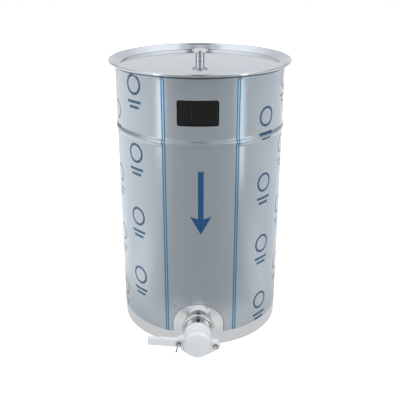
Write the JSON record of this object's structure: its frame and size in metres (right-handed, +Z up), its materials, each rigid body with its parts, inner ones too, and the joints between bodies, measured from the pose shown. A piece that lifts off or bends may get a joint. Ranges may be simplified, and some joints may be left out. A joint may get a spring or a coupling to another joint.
{
  "type": "honey settling tank",
  "caption": "Upright stainless tank for settling honey, with a sight window, a beaded barrel in printed film, a dished lid with a knob, and a swing gate at the foot.",
  "frame": {"origin": "on the barrel's axis, on the underside that it stands on", "axes": "+Z up along the barrel's axis; the gate and the window face -Y; the gate's lever points to -X"},
  "size_m": [0.3236, 0.3776, 0.5156],
  "materials": {
    "barrel_steel": "bright rolled sheet",
    "weld_steel": "brushed weld",
    "film": "thin printed film over steel",
    "pane": "clear pane over a dark inside",
    "seal_rubber": "matte",
    "gasket_rubber": "matte",
    "socket_steel": "turned and polished",
    "gate_plastic": "moulded, slightly glossy",
    "bolt_steel": "bright",
    "lid_steel": "bright spun sheet",
    "knob_steel": "polished"
  },
  "bodies": {
    "tank": {"barrel": "barrel_steel", "barrel_seam_weld": "weld_steel", "bottom_pan": "barrel_steel", "bottom_weld": "weld_steel", "protective_film": "film", "window_pane": "pane", "window_seal": "seal_rubber", "outlet_socket": "socket_steel", "socket_weld_bead": "weld_steel", "outlet_gasket": "gasket_rubber", "gate_body": "gate_plastic", "face_seal": "seal_rubber", "pivot_bolt": "bolt_steel", "pivot_washer": "bolt_steel", "pivot_nut": "bolt_steel", "clamp_bolt": "bolt_steel"},
    "blade": {"gate_blade": "gate_plastic"},
    "clamp": {"clamp_washer": "bolt_steel"},
    "wing": {"wing_nut": "bolt_steel"},
    "cover": {"lid": "lid_steel", "lid_knob": "knob_steel", "knob_washer": "bolt_steel", "knob_screw": "bolt_steel"}
  },
  "joints": [
    {"name": "lid_lift", "type": "slide", "parent": "tank", "child": "cover", "axis": [0, 0, 1], "range_m": [0, 0.25]},
    {"name": "gate_swing", "type": "hinge", "parent": "tank", "child": "blade", "pos_m": [0.03194, -0.2, 0.03405], "axis": [0, 1, 0], "range_deg": [0, 105]},
    {"name": "clamp_travel", "type": "slide", "parent": "tank", "child": "clamp", "axis": [0, -1, 0], "range_m": [0, 0.0025]},
    {"name": "wing_nut_turn", "type": "hinge", "parent": "clamp", "child": "wing", "pos_m": [-0.03294, -0.206, 0.03801], "axis": [0, -1, 0], "range_deg": [0, 1080]}
  ],
  "couplings": [
    {"joint": "clamp_travel", "follows": "wing_nut_turn", "m_per_rad": 0.00012732}
  ]
}
